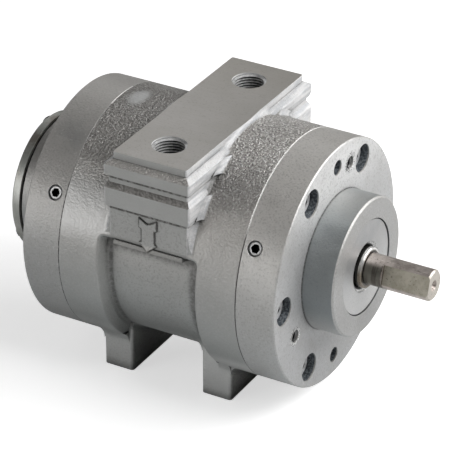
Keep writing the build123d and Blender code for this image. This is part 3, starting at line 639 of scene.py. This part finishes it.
shaft_end_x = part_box("output_shaft")[1][0]
flat_start_x = shaft_end_x - 0.0298
collar_end_x = 0.1231
journal_end_x = 0.1124
disc_gap_x = 0.1099
step_radius = 0.0108
neck_radius = 0.0100
steel_dark = (0.40, 0.35, 0.32, 1)
steel_light = (0.62, 0.56, 0.52, 1)
mark_light = (0.80, 0.74, 0.70, 1)
collar_shade_deep = (0.075, 0.072, 0.058, 1)
collar_shade_pale = (0.17, 0.165, 0.14, 1)
flat_dark = (0.40, 0.37, 0.30, 1)
flat_light = (0.52, 0.49, 0.41, 1)
journal_low_shade = (0.22, 0.19, 0.15, 1)
journal_top_highlight = (0.85, 0.84, 0.82, 1)
step_shade = (0.10, 0.09, 0.075, 1)
step_crease_shade = (0.01, 0.01, 0.008, 1)
seal_gap_shade = (0.02, 0.02, 0.018, 1)
end_beige = (0.62, 0.58, 0.52, 1)
shaft_spot = (0.08, 0.07, 0.055, 1)
shaft_corner_shade = (0.04, 0.035, 0.03, 1)
flat_end_shade = (0.08, 0.06, 0.04, 1)

shaft, tree, shader, place = new_finish("ground_shaft_steel")
x, y, z = split(tree, place)
face = facing(tree)
from_axis = length_of(tree, y, minus(tree, z, shaft_z))
cloud = noise(tree, place, 120.0, 4.0, 0.65)
spots = noise(tree, place, 700.0, 3.0, 0.7)
long_marks = drawn_out(tree, place, (90.0, 900.0, 900.0), 3.0, 0.6)
metal = mix(tree, ramp(tree, cloud, 0.35, 0.65), steel_dark, steel_light)
metal = mix(tree, ramp(tree, long_marks, 0.55, 0.70, 0.0, 0.6), metal, mark_light)

# Painted shade on the collar between the journal and the flat, the flat itself, and the journal in the
# disc.
collar_shade_mask = ramp(tree, x, collar_end_x, collar_end_x + 0.0006, 1.0, 0.0)
collar_shade_mask = times(tree, collar_shade_mask, ramp(tree, face[2], 0.90, 0.60), 0.9)
bands = drawn_out(tree, place, (600.0, 60.0, 60.0))
collar_shading = mix(tree, ramp(tree, bands, 0.35, 0.6), collar_shade_deep, collar_shade_pale)
metal = mix(tree, collar_shade_mask, metal, collar_shading)
on_flat = times(tree, under(tree, face[1], -0.94), over(tree, x, flat_start_x))
flat_shade = mix(tree, ramp(tree, cloud, 0.35, 0.65), flat_dark, flat_light)
metal = mix(tree, on_flat, metal, flat_shade)
# The journal: painted highlight on top, painted shade below, on its step and where it enters the disc.
polished = under(tree, x, journal_end_x)
above = ramp(tree, z, shaft_z + 0.001, shaft_z + 0.008)
journal_light_and_shade = mix(tree, above, journal_low_shade, journal_top_highlight)
ring = mix(tree, ramp(tree, from_axis, step_radius, step_radius + 0.0005), step_shade, journal_light_and_shade)
ring = mix(tree, ramp(tree, from_axis, neck_radius, neck_radius + 0.0003), step_crease_shade, ring)
ring = mix(tree, ramp(tree, x, disc_gap_x, disc_gap_x + 0.0002), seal_gap_shade, ring)
metal = mix(tree, polished, metal, ring)
end_face = times(tree, over(tree, x, shaft_end_x - 0.0034), over(tree, face[0], 0.5))
metal = mix(tree, end_face, metal, end_beige)
metal = mix(tree, ramp(tree, spots, 0.56, 0.72, 0.0, 0.7), metal, shaft_spot)
# Painted shade in the corners and a painted shade line where the flat ends.
metal = mix(tree, shade_mask(tree, 0.0015, 0.3, 0.7), shaft_corner_shade, metal)
flat_end = band(tree, x, flat_start_x - 0.0001, flat_start_x + 0.0005, 0.0001)
flat_end = times(tree, flat_end, 0.75, ramp(tree, face[1], -0.5, -0.8))
metal = mix(tree, flat_end, metal, flat_end_shade)
link(tree, metal, shader, "Base Color")
shader.inputs["Metallic"].default_value = 0.7
link(tree, ramp(tree, polished, 0.0, 1.0, 0.40, 0.24), shader, "Roughness")
link(tree, bump(tree, spots, 0.5, 0.00012, round_edges(tree, 0.0003, 4)), shader, "Normal")
give(shaft, "output_shaft")


# Inside, hidden by the housing: a ground iron rotor with laminated vanes in its slots, two ball
# bearings with pressed cages, a spring washer, and a rubber lip bonded in a pressed seal case.

def plain_finish(name, low, high, scale, metallic, rough):
    """A clouded finish between two shades."""
    finish, tree, shader, place = new_finish(name)
    cloud = noise(tree, place, scale, 3.0)
    link(tree, mix(tree, ramp(tree, cloud, 0.3, 0.7), low, high), shader, "Base Color")
    shader.inputs["Metallic"].default_value = metallic
    shader.inputs["Roughness"].default_value = rough
    link(tree, bump(tree, cloud, 0.2, 0.0001), shader, "Normal")
    return finish


iron = plain_finish("rotor_iron", (0.24, 0.24, 0.25, 1), (0.32, 0.32, 0.33, 1), 200.0, 0.9, 0.38)
give(iron, "rotor")
laminate = plain_finish("vane_laminate", (0.10, 0.06, 0.035, 1), (0.16, 0.10, 0.06, 1), 500.0, 0.0, 0.60)
give(laminate, "vane_1", "vane_2", "vane_3", "vane_4")
race_steel = plain_finish("bearing_steel", (0.50, 0.50, 0.51, 1), (0.60, 0.60, 0.61, 1), 120.0, 1.0, 0.15)
pressed = plain_finish("pressed_steel", (0.34, 0.34, 0.34, 1), (0.42, 0.42, 0.42, 1), 300.0, 0.9, 0.30)
for end in ("drive", "dead"):
    give(race_steel, f"{end}_bearing_outer_race", f"{end}_bearing_inner_race", f"{end}_bearing_balls")
    give(pressed, f"{end}_bearing_cage")
give(pressed, "shaft_seal_case", "bearing_spring_washer")
rubber = plain_finish("black_rubber", (0.006, 0.006, 0.006, 1), (0.014, 0.014, 0.014, 1), 500.0, 0.0, 0.55)
give(rubber, "shaft_seal_lip", "rear_cap_gasket")


# Rear cap: a plain turned cap over the rear bearing, on a thin rubber gasket. It isn't painted,
# and its rim has a brown stain at the top and is darker in clouds towards the bottom.

cap_low = (0.44, 0.45, 0.42, 1)
cap_high = (0.56, 0.565, 0.535, 1)
stain_brown = (0.22, 0.19, 0.16, 1)
low_dark = (0.14, 0.14, 0.13, 1)
cap, tree, shader, place = new_finish("cap_metal")
x, y, z = split(tree, place)
cloud = noise(tree, place, 80.0, 4.0, 0.65)
fine = noise(tree, place, 700.0)
metal = mix(tree, ramp(tree, cloud, 0.35, 0.65), cap_low, cap_high)
stain = times(tree, ramp(tree, z, 0.100, 0.125), ramp(tree, cloud, 0.42, 0.60), 0.75)
metal = mix(tree, stain, metal, stain_brown)
low_darkening = times(tree, ramp(tree, z, 0.075, 0.055), ramp(tree, cloud, 0.48, 0.62), 0.7)
metal = mix(tree, low_darkening, metal, low_dark)
link(tree, metal, shader, "Base Color")
shader.inputs["Metallic"].default_value = 0.6
shader.inputs["Roughness"].default_value = 0.42
link(tree, bump(tree, fine, 0.4, 0.0002, round_edges(tree, 0.0006, 4)), shader, "Normal")
give(cap, "rear_end_cap")


# Threads: cut in the ports, the jack-screw holes and the foot holes, and part of their castings.
# Each is one helical ridge that stands on the hole's wall and runs in from just under the mouth.

ridge_share = 0.58
sunk_share = 0.2
steps_per_turn = 48


def thread(name, centre, radius, pitch, turns, way):
    """A helical ridge inside a hole, which runs down from its centre, up from it, or back along X."""
    bpy.ops.object.select_all(action="DESELECT")
    bpy.ops.mesh.primitive_circle_add(vertices=3, radius=pitch * ridge_share, fill_type="NOTHING",
                                      location=(0, 0, 0), rotation=(0, 0, 0))
    ridge = bpy.context.object
    ridge.name = name
    bpy.ops.object.mode_set(mode="EDIT")
    bpy.ops.mesh.select_all(action="SELECT")
    bpy.ops.transform.rotate(value=math.radians(90), orient_axis="Z", center_override=(0, 0, 0))
    bpy.ops.transform.rotate(value=math.radians(90), orient_axis="X", center_override=(0, 0, 0))
    bpy.ops.object.mode_set(mode="OBJECT")
    # The ridge points to the middle of the hole, so a triangle that points outwards is mirrored.
    if sum(corner.co.x > 0 for corner in ridge.data.vertices) == 1:
        bpy.ops.object.mode_set(mode="EDIT")
        bpy.ops.transform.mirror(constraint_axis=(True, False, False), center_override=(0, 0, 0))
        bpy.ops.object.mode_set(mode="OBJECT")
    bpy.ops.object.mode_set(mode="EDIT")
    bpy.ops.transform.translate(value=(radius - pitch * sunk_share, 0, 0))
    bpy.ops.object.mode_set(mode="OBJECT")
    screw = ridge.modifiers.new("helix", "SCREW")
    screw.axis = "Z"
    screw.screw_offset = -pitch
    screw.iterations = turns
    screw.steps = steps_per_turn
    screw.render_steps = steps_per_turn
    bpy.ops.object.modifier_apply(modifier="helix")
    bpy.ops.object.mode_set(mode="EDIT")
    bpy.ops.mesh.select_all(action="SELECT")
    bpy.ops.mesh.fill_holes(sides=3)
    bpy.ops.mesh.select_all(action="SELECT")
    bpy.ops.mesh.normals_make_consistent(inside=False)
    if way == "back":
        bpy.ops.transform.rotate(value=math.radians(-90), orient_axis="Y", center_override=(0, 0, 0))
    if way == "up":
        bpy.ops.transform.rotate(value=math.radians(180), orient_axis="Y", center_override=(0, 0, 0))
    bpy.ops.transform.translate(value=centre)
    bpy.ops.object.mode_set(mode="OBJECT")
    bpy.ops.object.shade_smooth_by_angle(angle=math.radians(40))
    ridge.data.materials.append(cut)
    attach(ridge, "housing")


jack_start_x = 0.070
cut_low = (0.55, 0.55, 0.55, 1)
cut_high = (0.80, 0.80, 0.79, 1)
thread_groove_shade = (0.02, 0.02, 0.02, 1)
cut, tree, shader, place = new_finish("cut_thread")
chips = noise(tree, place, 500.0, 3.0)
metal = mix(tree, ramp(tree, chips, 0.3, 0.7), cut_low, cut_high)
# Painted shade: the threads are darker in the jack holes, in their grooves and deep in every hole.
in_jack = ramp(tree, split(tree, place)[0], jack_start_x, jack_start_x + 0.005, 0.0, 0.75)
metal = mix(tree, in_jack, metal, joint_and_shade_black)
metal = mix(tree, shade_mask(tree, 0.0010, 0.45, 0.85), thread_groove_shade, metal)
metal = mix(tree, shade_mask(tree, 0.012, 0.06, 0.45), gap_shade, metal)
link(tree, metal, shader, "Base Color")
shader.inputs["Metallic"].default_value = 0.6
shader.inputs["Roughness"].default_value = 0.32
link(tree, bump(tree, chips, 0.3, 0.0002), shader, "Normal")

under_mouth = 0.0014
port_pitch = 0.00181
for name, thread_y in (("port_thread_near", -port_y), ("port_thread_far", port_y)):
    thread(name, (port_x, thread_y, block_top_z - under_mouth), port_radius, port_pitch, 8, "down")
jack_radius = 0.0040
bolt_pitch = 0.0015
for number, (hole_y, hole_z) in enumerate(jack_holes, start=1):
    centre = (face_x - under_mouth, hole_y, hole_z)
    thread(f"jack_thread_{number}", centre, jack_radius, bolt_pitch, 9, "back")
foot_bolts = mounts["foot_bolts"]["dims"]
foot_x = foot_bolts["spacing_x_mm"] / 2000
foot_y = foot_bolts["spacing_y_mm"] / 2000
foot_hole_radius = foot_bolts["hole_r_mm"] / 1000
for thread_x, x_name in ((-foot_x, "rear"), (foot_x, "front")):
    for thread_y, y_name in ((-foot_y, "near"), (foot_y, "far")):
        centre = (thread_x, thread_y, under_mouth)
        thread(f"foot_thread_{x_name}_{y_name}", centre, foot_hole_radius, bolt_pitch, 10, "up")


# Burrs: the ragged lips of paint and metal that the tap raised round the two jack-screw holes.
# Each is a thin ring that flares out from the hole's edge, and is part of the drive plate.

burr_radius = 0.0041
burr_height = 0.00035
burr_flare = 1.22
burr_rag = 0.0004
burr_wall = 0.00022
burr_sunk = 0.0001


def burr(name, centre, seed):
    """A thin ragged ring that stands a little off the face round a hole."""
    bpy.ops.object.select_all(action="DESELECT")
    bpy.ops.mesh.primitive_circle_add(vertices=44, radius=burr_radius, fill_type="NOTHING",
                                      location=(0, 0, 0), rotation=(0, 0, 0))
    ring = bpy.context.object
    ring.name = name
    bpy.ops.object.mode_set(mode="EDIT")
    bpy.ops.mesh.select_all(action="SELECT")
    bpy.ops.mesh.extrude_edges_move(TRANSFORM_OT_translate={"value": (0, 0, burr_height)})
    bpy.ops.transform.resize(value=(burr_flare, burr_flare, 1.0), center_override=(0, 0, 0))
    bpy.ops.transform.vertex_random(offset=burr_rag, uniform=0.0, normal=0.0, seed=seed)
    bpy.ops.object.mode_set(mode="OBJECT")
    wall = ring.modifiers.new("wall", "SOLIDIFY")
    wall.thickness = burr_wall
    wall.offset = 0.0
    bpy.ops.object.modifier_apply(modifier="wall")
    bpy.ops.object.mode_set(mode="EDIT")
    bpy.ops.mesh.select_all(action="SELECT")
    bpy.ops.transform.rotate(value=math.radians(-90), orient_axis="Y", center_override=(0, 0, 0))
    bpy.ops.object.mode_set(mode="OBJECT")
    # The ring flares away from the plate, so one that flares into it is turned round.
    flare = sum(corner.co.x for corner in ring.data.vertices)
    bpy.ops.object.mode_set(mode="EDIT")
    if flare < 0:
        bpy.ops.transform.rotate(value=math.radians(180), orient_axis="Y", center_override=(0, 0, 0))
    bpy.ops.transform.translate(value=centre)
    bpy.ops.mesh.normals_make_consistent(inside=False)
    bpy.ops.object.mode_set(mode="OBJECT")
    ring.data.materials.append(torn_paint)
    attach(ring, "housing")


torn_paint, tree, shader, place = new_finish("torn_paint")
chips = noise(tree, place, 1500.0)
metal = mix(tree, ramp(tree, chips, 0.42, 0.56), (0.25, 0.25, 0.25, 1), (0.92, 0.92, 0.91, 1))
link(tree, metal, shader, "Base Color")
shader.inputs["Metallic"].default_value = 0.3
shader.inputs["Roughness"].default_value = 0.35
link(tree, bump(tree, chips, 0.5, 0.0003), shader, "Normal")
for number, (hole_y, hole_z) in enumerate(jack_holes, start=1):
    burr(f"jack_burr_{number}", (face_x - burr_sunk, hole_y, hole_z), number + 2)


# The floor that the motor stands on, pale and plain. It lies a hair below the feet, and only the
# camera sees it lighter than the lamps make it.

floor_drop = 0.0001
bpy.ops.object.select_all(action="DESELECT")
bpy.ops.mesh.primitive_plane_add(size=12.0, location=(0, 0, -floor_drop))
floor = bpy.context.object
floor.name = "floor"
pale, tree, shader, place = new_finish("pale_floor")
rays = add(tree, "LightPath", {})
shader.inputs["Base Color"].default_value = (0.8, 0.8, 0.8, 1)
shader.inputs["Roughness"].default_value = 0.9
shader.inputs["Specular IOR Level"].default_value = 0.0
shader.inputs["Emission Color"].default_value = (1, 1, 1, 1)
link(tree, times(tree, rays.outputs["Is Camera Ray"], 0.6), shader, "Emission Strength")
floor.data.materials.append(pale)


# Studio light: two broad lamps on the right, two softer ones on the left and a weak one above,
# in a room that is white to the camera and nearly dark to everything else.

lamp_size = 0.9
middle = Vector((0.02, 0.0, 0.08))


def soft_lamp(name, place, power):
    """A square area lamp that faces the middle of the motor."""
    lamp = bpy.data.lights.new(name, "AREA")
    lamp.size = lamp_size
    lamp.energy = power
    holder = bpy.data.objects.new(name, lamp)
    bpy.context.scene.collection.objects.link(holder)
    holder.location = place
    holder.rotation_euler = (middle - Vector(place)).to_track_quat("-Z", "Y").to_euler()


soft_lamp("lamp_right", (1.0, 0.0, 1.2), 15.6)
soft_lamp("lamp_right_back", (1.0, 1.0, 0.8), 12.2)
soft_lamp("lamp_left", (-0.9, -1.1, 0.2), 7.4)
soft_lamp("lamp_left_back", (-1.0, 1.0, 0.8), 2.3)
soft_lamp("lamp_top", (0.0, 0.0, 1.6), 1.1)
room = bpy.data.worlds.new("pale_room")
bpy.context.scene.world = room
room.use_nodes = True
tree = room.node_tree
back = tree.nodes["Background"]
back.inputs["Color"].default_value = (1, 1, 1, 1)
rays = add(tree, "LightPath", {})
seen = most(tree, rays.outputs["Is Camera Ray"], rays.outputs["Is Transmission Ray"])
tree.links.new(ramp(tree, seen, 0.0, 1.0, 0.02, 1.0), back.inputs["Strength"])


# The camera, above and to the right of the shaft side, with a long lens. Its direction, distance
# and target are the photograph's.

azimuth = math.radians(29.457)
elevation = math.radians(29.613)
distance = 1.7384
target = Vector((0.01481, 0.0, 0.09056))
back_way = Vector((
    math.sin(azimuth) * math.cos(elevation),
    -math.cos(azimuth) * math.cos(elevation),
    math.sin(elevation),
))
lens = bpy.data.cameras.new("camera")
lens.sensor_width = 36.0
lens.lens = 232.7
lens.clip_start = 0.1
lens.clip_end = 30.0
camera = bpy.data.objects.new("camera", lens)
bpy.context.scene.collection.objects.link(camera)
camera.location = target + back_way * distance
camera.rotation_euler = (-back_way).to_track_quat("-Z", "Y").to_euler()
bpy.context.scene.camera = camera
bpy.context.scene.view_settings.view_transform = "Standard"
